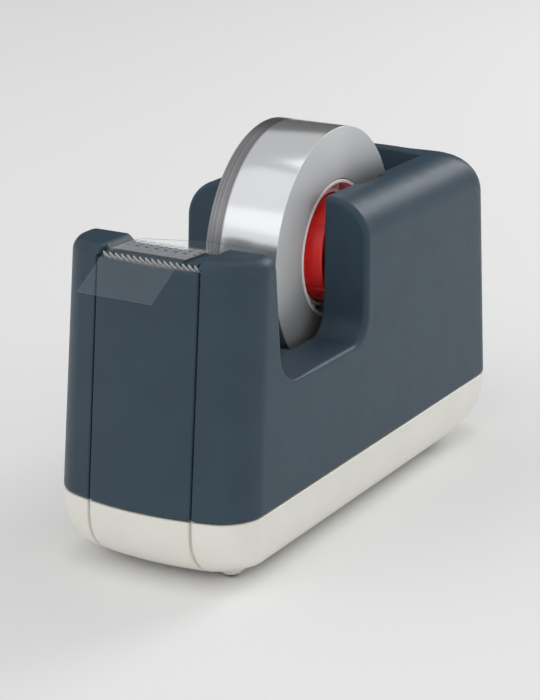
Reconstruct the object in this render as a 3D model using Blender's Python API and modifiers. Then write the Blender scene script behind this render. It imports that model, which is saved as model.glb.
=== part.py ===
"""Weighted desk tape dispenser: drafted housing, base tray, cutter, and a tape roll on a lift-out axle.

Metres, +Z up. The cutter end faces -Y and the roll turns about X. The origin is on the surface that the
dispenser stands on, at the middle of its box, which takes in the free end of the tape.
"""

from math import atan, atan2, cos, hypot, pi, radians, sin, sqrt

import bmesh
import bpy
from mathutils import Matrix, Vector

# Gap between solids that touch.
GAP = 0.0003

# Housing, in plan at the seam between shell and base.
LENGTH = 0.1370
WIDTH = 0.0510
FRONT_BOW = 0.0051
REAR_BOW = 0.0010
FRONT_CORNER = 0.0074
REAR_CORNER = 0.0060
TAPE_OVERHANG = 0.0050
FRONT_Y = -(LENGTH - TAPE_OVERHANG) / 2
REAR_Y = FRONT_Y + LENGTH
WALL = 0.0022

# Heights above the standing surface.
BASE_BOTTOM_Z = 0.0015
SEAM_Z = 0.0170
NOTCH_FLOOR_Z = 0.0445
PLATFORM_Z = 0.0736
SHOULDER_Z = 0.0752
HOUSING_TOP_Z = 0.0782

# Draft of the shell walls, as inset per metre of height.
SIDE_DRAFT = 0.016
FRONT_DRAFT = 0.0755
REAR_DRAFT = 0.092

# Roundings of the base, from the upright stretch under the seam to the flat underside.
BASE_UPRIGHT = 0.0035
BASE_SIDE_INSET = 0.0074
BASE_FRONT_INSET = 0.0130
BASE_REAR_INSET = 0.0260

# Roundings of the rear block's top.
TOP_SIDE_RADIUS = 0.0085
TOP_REAR_RADIUS = 0.0150
TOP_CROWN = 0.0008

# Notch across the housing, and the slot that the roll sits in.
TOWER_BACK_Y = -0.0443
BLOCK_FRONT_Y = -0.0032
NOTCH_RADIUS = 0.0070
NOTCH_LEAN = 0.090
SLOT_HALF_WIDTH = 0.0130
SLOT_REAR_Y = 0.0495
WELL_RADIUS = 0.0335

# Roll, core, hub and axle.
ROLL_Y = 0.0097
ROLL_Z = 0.0616
ROLL_RADIUS = 0.02965
TAPE_WIDTH = 0.0190
CORE_RADIUS = 0.0168
CORE_BORE = 0.0134
HUB_RADIUS = 0.0131
HUB_HALF_WIDTH = 0.0125
AXLE_RADIUS = 0.0025
AXLE_END_X = 0.0147
GUIDE_DEPTH = 0.0020
GUIDE_TOP_Y = 0.0190

# Front panel, tape platform, cutter and the loose end of the tape.
PANEL_SEAM_X = 0.0133
PANEL_TOP_X = 0.0131
PANEL_DEPTH = 0.0012
PANEL_TOP_Z = 0.0727
SHOULDER_INNER_X = 0.0128
SEAT_HALF_WIDTH = 0.0112
SEAT_Z = 0.0704
SHOULDER_ROUND = 0.0034
BLADE_HALF_WIDTH = 0.0124
BLADE_BAY_HALF = 0.0127
BLADE_THICK = 0.0005
TOOTH_COUNT = 16
TOOTH_DEPTH = 0.0019
TOOTH_TIP = (-0.0591, 0.0738)
BLADE_BEND = (-0.0581, 0.0716)
BLADE_HEEL_Y = -0.0515
PLATFORM_FRONT_Y = -0.0571
PLATFORM_REAR_Y = -0.0475
STRIP_THICK = 0.00022
STRIP_SKEW = -0.0018
STRIP_END = (FRONT_Y - TAPE_OVERHANG, 0.0685)

# Fasteners, feet and ballast.
SCREW_PLACES = [(x, y) for y in (-0.0360, 0.0460) for x in (-0.0150, 0.0150)]
FOOT_PLACES = [(x, y) for y in (-0.0505, 0.0370) for x in (-0.0158, 0.0158)]
BOSS_RADIUS = 0.0046
SHELL_BOSS_RADIUS = 0.0034
SCREW_HOLE = 0.0018
SCREW_SHANK = 0.0014
SCREW_HEAD = 0.0030
SCREW_SEAT_Z = 0.0060
SCREW_TIP_Z = 0.0270
FOOT_RADIUS = 0.0014
BALLAST_X = 0.0190
BALLAST_FRONT_Y = -0.0300
BALLAST_REAR_Y = 0.0390
BALLAST_TOP_Z = 0.0232
COVER_THICK = 0.0015


def clear_scene():
    for old in list(bpy.data.objects):
        bpy.data.objects.remove(old)


def new_collection(name):
    made = bpy.data.collections.new(name)
    bpy.context.scene.collection.children.link(made)
    return made


def plastic(name, colour, roughness, metallic=0.0):
    made = bpy.data.materials.new(name)
    made.use_nodes = True
    shader = made.node_tree.nodes["Principled BSDF"]
    shader.inputs["Base Color"].default_value = (*colour, 1.0)
    shader.inputs["Roughness"].default_value = roughness
    shader.inputs["Metallic"].default_value = metallic
    return made


def object_from(name, bm, material=None):
    """A part when it has a material, otherwise a cutter."""
    bmesh.ops.recalc_face_normals(bm, faces=bm.faces)
    mesh = bpy.data.meshes.new(name)
    bm.to_mesh(mesh)
    bm.free()
    made = bpy.data.objects.new(name, mesh)
    if material is None:
        CUTTERS.objects.link(made)
        made.hide_render = True
        made.display_type = "WIRE"
    else:
        PARTS.objects.link(made)
        mesh.materials.append(material)
        mesh.shade_smooth()
        mesh.set_sharp_from_angle(angle=radians(30))
    return made


def boolean(target, tool, operation="DIFFERENCE"):
    cut = target.modifiers.new(tool.name, "BOOLEAN")
    cut.operation = operation
    cut.solver = "EXACT"
    cut.object = tool


def box(name, low, high, material=None):
    bm = bmesh.new()
    size = Vector(high) - Vector(low)
    middle = (Vector(high) + Vector(low)) / 2
    bmesh.ops.create_cube(bm, size=1.0, matrix=Matrix.Translation(middle) @ Matrix.Diagonal((*size, 1.0)))
    return object_from(name, bm, material)


def cone(name, place, radius_low, radius_high, low, high, material=None, segments=32, axis="Z"):
    """A cylinder or cone from low to high along the axis, whose other two coordinates are place."""
    bm = bmesh.new()
    bmesh.ops.create_cone(
        bm, cap_ends=True, segments=segments, radius1=radius_low, radius2=radius_high, depth=high - low
    )
    middle = (low + high) / 2
    if axis == "Z":
        matrix = Matrix.Translation((*place, middle))
    else:
        matrix = Matrix.Translation((middle, *place)) @ Matrix.Rotation(pi / 2, 4, "Y")
    bmesh.ops.transform(bm, matrix=matrix, verts=bm.verts)
    return object_from(name, bm, material)


def prism(name, outline, axis, low, high, material=None):
    """An outline extruded along X (outline in Y, Z) or along Y (outline in X, Z)."""
    bm = bmesh.new()
    if axis == "X":
        corners = [bm.verts.new((low, a, b)) for a, b in outline]
        step = Vector((high - low, 0, 0))
    else:
        corners = [bm.verts.new((a, low, b)) for a, b in outline]
        step = Vector((0, high - low, 0))
    face = bm.faces.new(corners)
    grown = bmesh.ops.extrude_face_region(bm, geom=[face])["geom"]
    bmesh.ops.translate(bm, vec=step, verts=[v for v in grown if isinstance(v, bmesh.types.BMVert)])
    return object_from(name, bm, material)


def loft(name, rings, material=None):
    """A closed solid through rings that have the same number of points."""
    bm = bmesh.new()
    loops = [[bm.verts.new(point) for point in ring] for ring in rings]
    for lower, upper in zip(loops, loops[1:]):
        for i in range(len(lower)):
            j = (i + 1) % len(lower)
            bm.faces.new((lower[i], lower[j], upper[j], upper[i]))
    bm.faces.new(loops[0])
    bm.faces.new(loops[-1])
    return object_from(name, bm, material)


def turned(name, profile, material, steps=64):
    """A profile of (x, radius) points, turned about X."""
    bm = bmesh.new()
    points = [bm.verts.new((x, 0.0, radius)) for x, radius in profile]
    edges = [bm.edges.new((points[i - 1], points[i])) for i in range(len(points))]
    bmesh.ops.spin(bm, geom=points + edges, angle=2 * pi, steps=steps, axis=(1, 0, 0), cent=(0, 0, 0))
    bmesh.ops.remove_doubles(bm, verts=bm.verts, dist=0.00001)
    return object_from(name, bm, material)


def arc(centre, radius, start, end, count):
    """Points on an arc, with angles in degrees from the first axis."""
    steps = [radians(start + (end - start) * i / (count - 1)) for i in range(count)]
    return [(centre[0] + radius * cos(a), centre[1] + radius * sin(a)) for a in steps]


def plan_outline(half_width, front_y, rear_y, front_corner, rear_corner):
    """The housing's outline in plan: bowed ends, straight sides, rounded corners."""

    def end(apex, bow, corner, direction, count):
        reach = half_width - corner
        tilt = atan(2 * bow * reach / half_width**2)
        radius = corner / (1 - sin(tilt))
        join = apex - direction * bow * (reach / half_width) ** 2
        bowed = [
            (reach * i / 5, apex - direction * bow * (reach * i / 5 / half_width) ** 2) for i in range(5)
        ]
        centre = (half_width - radius, join - direction * radius * cos(tilt))
        turn = arc(centre, radius, 90 - tilt * 180 / pi, 0, count)
        return bowed + [(x, centre[1] + direction * (y - centre[1])) for x, y in turn]

    right = end(front_y, FRONT_BOW, front_corner, -1, 9)
    right += end(rear_y, REAR_BOW, rear_corner, 1, 8)[::-1]
    return right + [(-x, y) for x, y in right[-2:0:-1]]


def shell_ring(z, inset=0.0):
    rise = z - SEAM_Z
    outline = plan_outline(
        WIDTH / 2 - SIDE_DRAFT * rise - inset,
        FRONT_Y + FRONT_DRAFT * rise + inset,
        REAR_Y - REAR_DRAFT * rise - inset,
        FRONT_CORNER - inset * 0.8,
        REAR_CORNER - inset * 0.8,
    )
    return [(x, y, z) for x, y in outline]


def base_ring(turn, inset=0.0):
    """A ring of the base, from 0 at the upright stretch's foot to 90 degrees at the flat underside."""
    share = 1 - cos(radians(turn))
    drop = BASE_UPRIGHT + (SEAM_Z - BASE_BOTTOM_Z - BASE_UPRIGHT) * sin(radians(turn))
    outline = plan_outline(
        WIDTH / 2 - BASE_SIDE_INSET * share - inset,
        FRONT_Y + BASE_FRONT_INSET * share + inset,
        REAR_Y - BASE_REAR_INSET * share - inset,
        FRONT_CORNER + BASE_SIDE_INSET * share * 0.3 - inset * 0.8,
        REAR_CORNER + BASE_SIDE_INSET * share * 0.9 - inset * 0.8,
    )
    z = SEAM_Z - drop + inset * sin(radians(turn))
    return [(x, y, z) for x, y in outline]


def base_solid(name, inset, top_z, material=None):
    upright = [(x, y, top_z) for x, y, z in base_ring(0, inset)]
    return loft(name, [base_ring(t, inset) for t in (90, 80, 68, 56, 44, 32, 20, 9, 0)] + [upright], material)


def notch_outline(grow=0.0):
    """Side view of the notch across the housing. Growing it gives the inner face of its wall."""
    floor = NOTCH_FLOOR_Z - grow
    front = TOWER_BACK_Y - grow
    rear = BLOCK_FRONT_Y + grow
    radius = NOTCH_RADIUS + grow
    sky = 0.1000
    lean = NOTCH_LEAN * (sky - floor)
    return (
        [(rear, sky)]
        + arc((rear - radius, floor + radius), radius, 0, -90, 9)
        + arc((front + radius, floor + radius), radius, -90, -174, 9)
        + [(front - lean, sky)]
    )


def slot_outline(grow=0.0):
    """Side view of the slot for the roll: half a circle in front, a longer half ellipse behind."""
    count = 12
    radius = WELL_RADIUS + grow
    reach = SLOT_REAR_Y + grow - ROLL_Y
    sky = 0.1000
    front = [
        (ROLL_Y - radius * cos(pi / 2 * i / count), ROLL_Z - radius * sin(pi / 2 * i / count))
        for i in range(count + 1)
    ]
    rear = [
        (ROLL_Y + reach * sin(pi / 2 * i / count), ROLL_Z - radius * cos(pi / 2 * i / count))
        for i in range(1, count + 1)
    ]
    return [(ROLL_Y - radius, sky)] + front + rear + [(SLOT_REAR_Y + grow, sky)]


def top_section(drop=0.0):
    """Front view of what lies above the rear block: its crowned top and rounded long edges."""
    top = HOUSING_TOP_Z - drop
    radius = TOP_SIDE_RADIUS - drop
    side = WIDTH / 2 - SIDE_DRAFT * (HOUSING_TOP_Z - TOP_SIDE_RADIUS - SEAM_Z) - drop
    shoulder = side - radius
    curve = arc((shoulder, top - TOP_CROWN - radius), radius, 2, 84, 9)
    right = [(0.04, curve[0][1])] + curve
    crown = [(shoulder * f, top - TOP_CROWN * f**2) for f in (0.8, 0.5, 0.2)]
    half = right + crown
    return [(0.04, 0.10)] + half + [(-x, z) for x, z in half[::-1]] + [(-0.04, 0.10)]


def rear_round_outline(drop=0.0):
    """Side view of what the rounding at the rear of the top takes away."""
    top = HOUSING_TOP_Z - drop
    radius = TOP_REAR_RADIUS - drop
    tilt = atan(REAR_DRAFT)
    centre_z = top - radius
    centre_y = REAR_Y - drop - REAR_DRAFT * (centre_z - SEAM_Z) - radius / cos(tilt)
    curve = arc((centre_y, centre_z), radius, 90, tilt * 180 / pi, 12)
    return curve + [(0.09, curve[-1][1]), (0.09, 0.10), (centre_y, 0.10)]


def tower_section(drop=0.0):
    """Front view of what lies above the front tower: two shoulders with a step down between them."""
    top = SHOULDER_Z - drop
    side = WIDTH / 2 - SIDE_DRAFT * (SHOULDER_Z - SEAM_Z) - drop
    radius = SHOULDER_ROUND - drop / 2
    step = SHOULDER_INNER_X + drop
    valley = SEAT_Z - drop
    outer = arc((side - radius, top - radius), radius, 0, 90, 7)
    inner = [(step, top), (step - 0.0004, top - 0.0005), (step - 0.0010, top - 0.0014)]
    inner.append((SEAT_HALF_WIDTH + drop, top - 0.0018))
    right = [(0.04, outer[0][1])] + outer + inner + [(SEAT_HALF_WIDTH + drop, valley)]
    return [(0.04, 0.10)] + right + [(-x, z) for x, z in right[::-1]] + [(-0.04, 0.10)]


def panel_section(grow=0.0, top=PANEL_TOP_Z):
    """Front view of the panel, which narrows upwards."""
    slope = (PANEL_SEAM_X - PANEL_TOP_X) / (PANEL_TOP_Z - SEAM_Z)
    low = SEAM_Z - 0.0050 if grow else SEAM_Z + GAP
    half_low = PANEL_SEAM_X + grow - slope * (low - SEAM_Z)
    half_top = PANEL_SEAM_X + grow - slope * (top - SEAM_Z)
    return [(-half_low, low), (half_low, low), (half_top, top), (-half_top, top)]


def shell_block(name, inset, foot_z, top_z, material=None):
    return loft(name, [shell_ring(foot_z, inset), shell_ring(top_z, inset)], material)


def roof(target, tag, drop):
    """Cuts the top of a block to the housing's roof, lowered by drop."""
    sky = 0.0950
    boolean(target, prism(f"{tag}_long_edges", top_section(drop), "Y", -0.09, 0.09))
    boolean(target, prism(f"{tag}_rear_round", rear_round_outline(drop), "X", -0.05, 0.05))
    boolean(target, prism(f"{tag}_tower_top", tower_section(drop), "Y", -0.09, TOWER_BACK_Y + 0.02))
    boolean(target, box(f"{tag}_over_notch", (-0.05, TOWER_BACK_Y, 0.07), (0.05, BLOCK_FRONT_Y - 0.002, sky)))


def guide_outline():
    """Side view of the sloping groove that the axle drops into."""
    half = AXLE_RADIUS + 0.00025
    lean = atan2(HOUSING_TOP_Z - ROLL_Z, GUIDE_TOP_Y - ROLL_Y)
    along = (cos(lean) * 0.032, sin(lean) * 0.032)
    turn = lean * 180 / pi
    foot = arc((ROLL_Y, ROLL_Z), half, turn + 90, turn + 270, 13)
    flare = 1.5
    across = (sin(lean) * half * flare, -cos(lean) * half * flare)
    head = (ROLL_Y + along[0], ROLL_Z + along[1])
    return foot + [(head[0] + across[0], head[1] + across[1]), (head[0] - across[0], head[1] - across[1])]


def upper_shell(material):
    shell = shell_block("upper_shell", 0.0, SEAM_Z + GAP / 2, 0.0900, material)
    roof(shell, "outer", 0.0)
    hollow = shell_block("hollow", WALL, SEAM_Z - 0.0100, 0.0880)
    roof(hollow, "inner", WALL)
    boolean(hollow, prism("notch_wall", notch_outline(WALL), "X", -0.06, 0.06))
    boolean(hollow, prism("slot_wall", slot_outline(WALL), "X", -SLOT_HALF_WIDTH - WALL, SLOT_HALF_WIDTH + WALL))
    guide_wall = SLOT_HALF_WIDTH + GUIDE_DEPTH + 0.0015
    guide_pad = [(y + dy, z + dz) for (y, z), (dy, dz) in zip(guide_box(0.0018), [(0, 0)] * 4)]
    boolean(hollow, prism("guide_wall", guide_pad, "X", -guide_wall, guide_wall))
    boolean(hollow, panel_recess("panel_wall", 0.0030, PANEL_DEPTH + WALL))
    for i, (x, y) in enumerate(SCREW_PLACES):
        top = 0.0500 if y > 0 else NOTCH_FLOOR_Z
        boolean(hollow, cone(f"shell_boss_{i}", (x, y), SHELL_BOSS_RADIUS, SHELL_BOSS_RADIUS, 0.001, top))
    boolean(shell, hollow)
    boolean(shell, prism("notch", notch_outline(), "X", -0.06, 0.06))
    boolean(shell, prism("slot", slot_outline(), "X", -SLOT_HALF_WIDTH, SLOT_HALF_WIDTH))
    guide = SLOT_HALF_WIDTH + GUIDE_DEPTH
    boolean(shell, prism("axle_guides", guide_outline(), "X", -guide, guide))
    boolean(shell, panel_recess("panel_recess", GAP, PANEL_DEPTH + GAP))
    bay = BLADE_BAY_HALF
    boolean(shell, box("blade_bay", (-bay, -0.09, SEAT_Z), (bay, -0.0573, 0.09)))
    boolean(shell, box("blade_slit", (-bay, -0.0600, SEAT_Z - 0.0001), (bay, BLADE_HEEL_Y + GAP, 0.0723)))
    for i, (x, y) in enumerate(SCREW_PLACES):
        boolean(shell, cone(f"shell_pilot_{i}", (x, y), SCREW_HOLE, SCREW_HOLE, 0.010, SCREW_TIP_Z + 0.001))
    return shell


def guide_box(margin):
    """Four corners round the groove, for the thicker wall that it is cut into."""
    lean = atan2(HOUSING_TOP_Z - ROLL_Z, GUIDE_TOP_Y - ROLL_Y)
    half = AXLE_RADIUS * 1.5 + margin
    along = Vector((cos(lean), sin(lean)))
    across = Vector((sin(lean), -cos(lean))) * half
    foot = Vector((ROLL_Y, ROLL_Z)) - along * (AXLE_RADIUS + margin)
    head = Vector((ROLL_Y, ROLL_Z)) + along * 0.032
    return [tuple(foot + across), tuple(head + across), tuple(head - across), tuple(foot - across)]


def panel_recess(name, grow, depth):
    """The room for the front panel: everything in front of the shell's face moved in by depth."""
    recess = prism(name, panel_section(grow, 0.0800), "Y", -0.0900, -0.0500)
    rings = []
    for z in (0.0050, 0.0900):
        rise = z - SEAM_Z
        front = FRONT_Y + FRONT_DRAFT * rise + depth
        outline = plan_outline(WIDTH / 2 - SIDE_DRAFT * rise, front, REAR_Y, FRONT_CORNER, REAR_CORNER)
        rings.append([(x, y, z) for x, y in outline])
    boolean(recess, loft(f"{name}_back", rings))
    return recess


def front_panel(material):
    panel = prism("front_panel", panel_section(), "Y", -0.0800, -0.0520, material)
    boolean(panel, shell_block("panel_face", 0.0, 0.0050, 0.0900), "INTERSECT")
    rings = []
    for z in (0.0050, 0.0900):
        rise = z - SEAM_Z
        front = FRONT_Y + FRONT_DRAFT * rise + PANEL_DEPTH
        outline = plan_outline(WIDTH / 2 - SIDE_DRAFT * rise, front, REAR_Y, FRONT_CORNER, REAR_CORNER)
        rings.append([(x, y, z) for x, y in outline])
    boolean(panel, loft("panel_back", rings))
    boolean(panel, box("panel_relief", (-0.03, -0.0590, 0.0708), (0.03, -0.04, 0.09)))
    return panel


def base_tray(material):
    base = base_solid("base_tray", 0.0, SEAM_Z - GAP / 2, material)
    room = base_solid("tray_room", WALL, SEAM_Z + 0.0100)
    for i, (x, y) in enumerate(SCREW_PLACES):
        boolean(room, cone(f"base_boss_{i}", (x, y), BOSS_RADIUS, BOSS_RADIUS, 0.001, SEAM_Z - GAP / 2))
    boolean(base, room)
    for i, (x, y) in enumerate(FOOT_PLACES):
        boolean(base, cone(f"foot_skirt_{i}", (x, y), 0.0021, 0.0050, 0.0006, 0.0040), "UNION")
        boolean(base, cone(f"foot_pocket_{i}", (x, y), FOOT_RADIUS + GAP, FOOT_RADIUS + GAP, -0.001, 0.0021))
    for i, (x, y) in enumerate(SCREW_PLACES):
        boolean(base, cone(f"screw_seat_{i}", (x, y), SCREW_HEAD + GAP, SCREW_HEAD + GAP, -0.001, SCREW_SEAT_Z))
        boolean(base, cone(f"base_hole_{i}", (x, y), SCREW_HOLE, SCREW_HOLE, 0.004, 0.030))
    groove_core = base_solid("groove_core", 0.0007, SEAM_Z + 0.0050)
    for side in (-1, 1):
        middle = side * PANEL_SEAM_X
        low = (middle - 0.0003, -0.09, -0.01)
        groove = box(f"base_groove_{side + 1}", low, (middle + 0.0003, -0.0440, 0.03))
        boolean(groove, groove_core)
        boolean(base, groove)
    return base


def tape_platform(material):
    foot = SEAT_Z + GAP
    outline = [
        (PLATFORM_FRONT_Y, PLATFORM_Z - 0.0011),
        (BLADE_HEEL_Y + GAP, PLATFORM_Z - 0.0011),
        (BLADE_HEEL_Y + GAP, foot),
        (PLATFORM_REAR_Y - 0.0004, foot),
        (PLATFORM_REAR_Y, foot + 0.0005),
        (PLATFORM_REAR_Y, PLATFORM_Z - 0.0008),
        (PLATFORM_REAR_Y - 0.0008, PLATFORM_Z),
        (PLATFORM_FRONT_Y + 0.0002, PLATFORM_Z),
    ]
    half = SEAT_HALF_WIDTH - GAP
    return prism("tape_platform", outline, "X", -half, half, material)


def cutter_blade(material):
    """A bent steel strip whose front lip rises to a row of teeth."""
    rise = Vector(TOOTH_TIP) - Vector(BLADE_BEND)
    normal = Vector((rise.y, -rise.x)).normalized() * BLADE_THICK
    bend = Vector(BLADE_BEND)
    tip = Vector(TOOTH_TIP)
    outline = [
        (bend.x, bend.y),
        tuple(tip),
        tuple(tip + normal * 0.35),
        (bend.x + 0.0005, bend.y + 0.0003),
        (BLADE_HEEL_Y, bend.y + 0.0003),
        (BLADE_HEEL_Y, bend.y - 0.0002),
    ]
    blade = prism("cutter_blade", outline, "X", -BLADE_HALF_WIDTH, BLADE_HALF_WIDTH, material)
    pitch = BLADE_HALF_WIDTH / TOOTH_COUNT
    along = rise.normalized()
    zigzag = [(-0.02, 0.002), (-0.02, -0.001)]
    for i in range(2 * TOOTH_COUNT + 1):
        reach = -TOOTH_DEPTH if i % 2 == 0 else -0.00004
        zigzag.append((-BLADE_HALF_WIDTH + i * pitch, reach))
    zigzag += [(0.02, -0.001), (0.02, 0.002)]
    rings = []
    for depth in (-3, 3):
        start = tip + normal * depth
        rings.append([(x, start.x + along.x * reach, start.y + along.y * reach) for x, reach in zigzag])
    boolean(blade, loft("tooth_gaps", rings))
    return blade


def strip_centreline():
    """Side view of the loose tape: off the roll, over the platform and teeth, then a free end."""
    peel_z = ROLL_Z + 0.0058
    peel_y = ROLL_Y - sqrt((ROLL_RADIUS + GAP) ** 2 - (peel_z - ROLL_Z) ** 2) - STRIP_THICK
    lift = STRIP_THICK / 2 + GAP
    return [
        (peel_y - 0.0002, peel_z),
        (PLATFORM_REAR_Y + 0.0010, PLATFORM_Z + lift - 0.0001),
        (PLATFORM_REAR_Y - 0.0015, PLATFORM_Z + lift),
        (PLATFORM_FRONT_Y + 0.0010, PLATFORM_Z + lift + 0.0001),
        (TOOTH_TIP[0] + 0.0004, TOOTH_TIP[1] + lift + 0.0001),
        (TOOTH_TIP[0] - 0.0008, TOOTH_TIP[1] + lift - 0.0002),
        STRIP_END,
    ]


def tape_strip(material):
    """The loose tape drifts a little sideways from the roll to its free end."""
    line = strip_centreline()
    half = TAPE_WIDTH / 2
    travel = line[0][0] - TOOTH_TIP[0]
    rings = []
    for i, (y, z) in enumerate(line):
        before = Vector(line[max(i - 1, 0)])
        after = Vector(line[min(i + 1, len(line) - 1)])
        run = (after - before).normalized()
        across = Vector((-run.y, run.x)) * (STRIP_THICK / 2)
        middle = STRIP_SKEW * min((line[0][0] - y) / travel, 1.0)
        ring = []
        for dx, side in ((-half, -1), (half, -1), (half, 1), (-half, 1)):
            ring.append((middle + dx, y + across.x * side, z + across.y * side))
        rings.append(ring)
    return loft("tape_strip", rings, material)


def tape_roll(material):
    half = TAPE_WIDTH / 2
    bore = CORE_RADIUS + GAP
    return turned("tape_roll", [(-half, bore), (-half, ROLL_RADIUS), (half, ROLL_RADIUS), (half, bore)], material, 96)


def tape_core(material):
    """A wide outer ring and a narrower inner one, joined by a thin web."""
    half = TAPE_WIDTH / 2
    inner_half = half - 0.0020
    web = 0.0010
    outer_ring = CORE_RADIUS - 0.0009
    inner_ring = CORE_BORE + 0.0009
    profile = [
        (-half, outer_ring),
        (-half, CORE_RADIUS),
        (half, CORE_RADIUS),
        (half, outer_ring),
        (web, outer_ring),
        (web, inner_ring),
        (inner_half, inner_ring),
        (inner_half, CORE_BORE),
        (-inner_half, CORE_BORE),
        (-inner_half, inner_ring),
        (-web, inner_ring),
        (-web, outer_ring),
    ]
    return turned("tape_core", profile, material)


def hub_half(name, side, material):
    """Half of the hub: a cup with a six-sided boss on its end, bored for the axle."""
    floor = 0.0075
    wall = 0.0014
    lip = 0.0002
    bore = AXLE_RADIUS + 0.0001
    profile = [
        (lip, HUB_RADIUS),
        (HUB_HALF_WIDTH - 0.0004, HUB_RADIUS),
        (HUB_HALF_WIDTH, HUB_RADIUS - 0.0004),
        (HUB_HALF_WIDTH, HUB_RADIUS - wall),
        (floor + 0.0012, HUB_RADIUS - wall),
        (floor + 0.0012, 0.0050),
        (HUB_HALF_WIDTH, 0.0050),
        (HUB_HALF_WIDTH, bore),
        (lip, bore),
        (lip, 0.0042),
        (floor, 0.0042),
        (floor, HUB_RADIUS - wall),
        (lip, HUB_RADIUS - wall),
    ]
    half = turned(name, [(side * x, radius) for x, radius in profile], material, 48)
    return half


def self_tapping_screw(name, place, material):
    bm = bmesh.new()
    head_low = SCREW_SEAT_Z - GAP - 0.0020
    parts = (
        (SCREW_HEAD, head_low, SCREW_SEAT_Z - GAP),
        (SCREW_SHANK, SCREW_SEAT_Z - GAP, SCREW_TIP_Z),
    )
    outline = [(0.0, head_low)]
    for radius, low, high in parts:
        outline += [(radius, low), (radius, high)]
    outline.append((0.0, SCREW_TIP_Z + 0.0006))
    rings = []
    for radius, z in outline[1:-1]:
        ring = []
        for i in range(20):
            turn = 2 * pi * i / 20
            ring.append((place[0] + radius * cos(turn), place[1] + radius * sin(turn), z))
        rings.append(ring)
    bm.free()
    screw = loft(name, rings, material)
    for turn, tag in ((0, "a"), (1, "b")):
        wide, thin = (0.0017, 0.00035) if turn == 0 else (0.00035, 0.0017)
        low = (place[0] - wide, place[1] - thin, head_low - 0.001)
        high = (place[0] + wide, place[1] + thin, head_low + 0.0011)
        boolean(screw, box(f"{name}_cross_{tag}", low, high))
    return screw


def ballast(material):
    block = box(
        "ballast_block",
        (-BALLAST_X, BALLAST_FRONT_Y, BASE_BOTTOM_Z + WALL + GAP),
        (BALLAST_X, BALLAST_REAR_Y, BALLAST_TOP_Z),
        material,
    )
    edges = block.modifiers.new("edges", "BEVEL")
    edges.width = 0.0040
    edges.segments = 3
    edges.limit_method = "ANGLE"
    return block


def ballast_cover(material):
    low = BALLAST_TOP_Z + GAP
    cover = box(
        "ballast_cover",
        (-BALLAST_X - 0.0010, BALLAST_FRONT_Y - 0.0005, low),
        (BALLAST_X + 0.0010, BALLAST_REAR_Y + 0.0005, low + COVER_THICK),
        material,
    )
    return cover


def build():
    shell_blue = plastic("soft_touch_blue_grey", (0.045, 0.068, 0.088), 0.55)
    base_cream = plastic("cream_plastic", (0.68, 0.67, 0.60), 0.40)
    steel = plastic("blade_steel", (0.70, 0.70, 0.70), 0.25, 1.0)
    iron = plastic("cast_iron", (0.12, 0.12, 0.12), 0.70, 0.8)
    black = plastic("black_plastic", (0.03, 0.03, 0.03), 0.50)
    rubber = plastic("foot_rubber", (0.02, 0.02, 0.02), 0.80)
    red = plastic("hub_red", (0.42, 0.02, 0.02), 0.35)
    white = plastic("core_plastic", (0.75, 0.72, 0.71), 0.45)
    tape = plastic("wound_tape", (0.55, 0.56, 0.56), 0.20)
    film = plastic("tape_film", (0.60, 0.62, 0.64), 0.15)
    upper_shell(shell_blue)
    base_tray(base_cream)
    front_panel(shell_blue)
    tape_platform(shell_blue)
    cutter_blade(steel)
    ballast(iron)
    ballast_cover(black)
    for i, place in enumerate(SCREW_PLACES, 1):
        self_tapping_screw(f"housing_screw_{i}", place, steel)
    for i, place in enumerate(FOOT_PLACES, 1):
        cone(f"foot_pad_{i}", place, FOOT_RADIUS - 0.0004, FOOT_RADIUS, 0.0, 0.0018, rubber, 28)
    tape_strip(film)
    axle = cone("axle_pin", (0.0, 0.0), AXLE_RADIUS, AXLE_RADIUS, -AXLE_END_X, AXLE_END_X, steel, 32, "X")
    turning = [
        axle,
        hub_half("hub_left", -1, red),
        hub_half("hub_right", 1, red),
        tape_core(white),
        tape_roll(tape),
    ]
    centre = bpy.data.objects.new("roll_axis", None)
    centre.location = (0.0, ROLL_Y, ROLL_Z)
    PARTS.objects.link(centre)
    for piece in turning:
        piece.parent = centre


clear_scene()
PARTS = new_collection("tape_dispenser")
CUTTERS = new_collection("cutters")
build()
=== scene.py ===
"""Looks for the desk tape dispenser: smooth housing, cutter, tape roll, hub and loose tape."""

from math import cos, pi, radians, sin, sqrt

import bmesh
import bpy
import numpy as np
from mathutils import Matrix, Vector


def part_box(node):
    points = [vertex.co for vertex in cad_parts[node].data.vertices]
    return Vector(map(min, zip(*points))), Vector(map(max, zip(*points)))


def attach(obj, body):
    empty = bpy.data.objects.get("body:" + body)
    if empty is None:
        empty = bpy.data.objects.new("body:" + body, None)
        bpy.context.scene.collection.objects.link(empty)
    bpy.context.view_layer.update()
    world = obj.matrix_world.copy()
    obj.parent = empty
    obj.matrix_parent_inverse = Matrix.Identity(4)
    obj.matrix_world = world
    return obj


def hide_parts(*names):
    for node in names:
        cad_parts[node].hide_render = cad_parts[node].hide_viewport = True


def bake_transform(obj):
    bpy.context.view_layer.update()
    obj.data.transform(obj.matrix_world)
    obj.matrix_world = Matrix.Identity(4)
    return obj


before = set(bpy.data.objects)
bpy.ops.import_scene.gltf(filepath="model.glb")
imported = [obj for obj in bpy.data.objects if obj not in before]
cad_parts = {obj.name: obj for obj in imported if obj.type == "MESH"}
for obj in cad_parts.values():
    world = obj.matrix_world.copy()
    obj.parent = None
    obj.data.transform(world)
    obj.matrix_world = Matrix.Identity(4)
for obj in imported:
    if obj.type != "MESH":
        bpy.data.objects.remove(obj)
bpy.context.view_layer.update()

GAP = 0.0003  # the clearance between pieces, as in the CAD model

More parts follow.
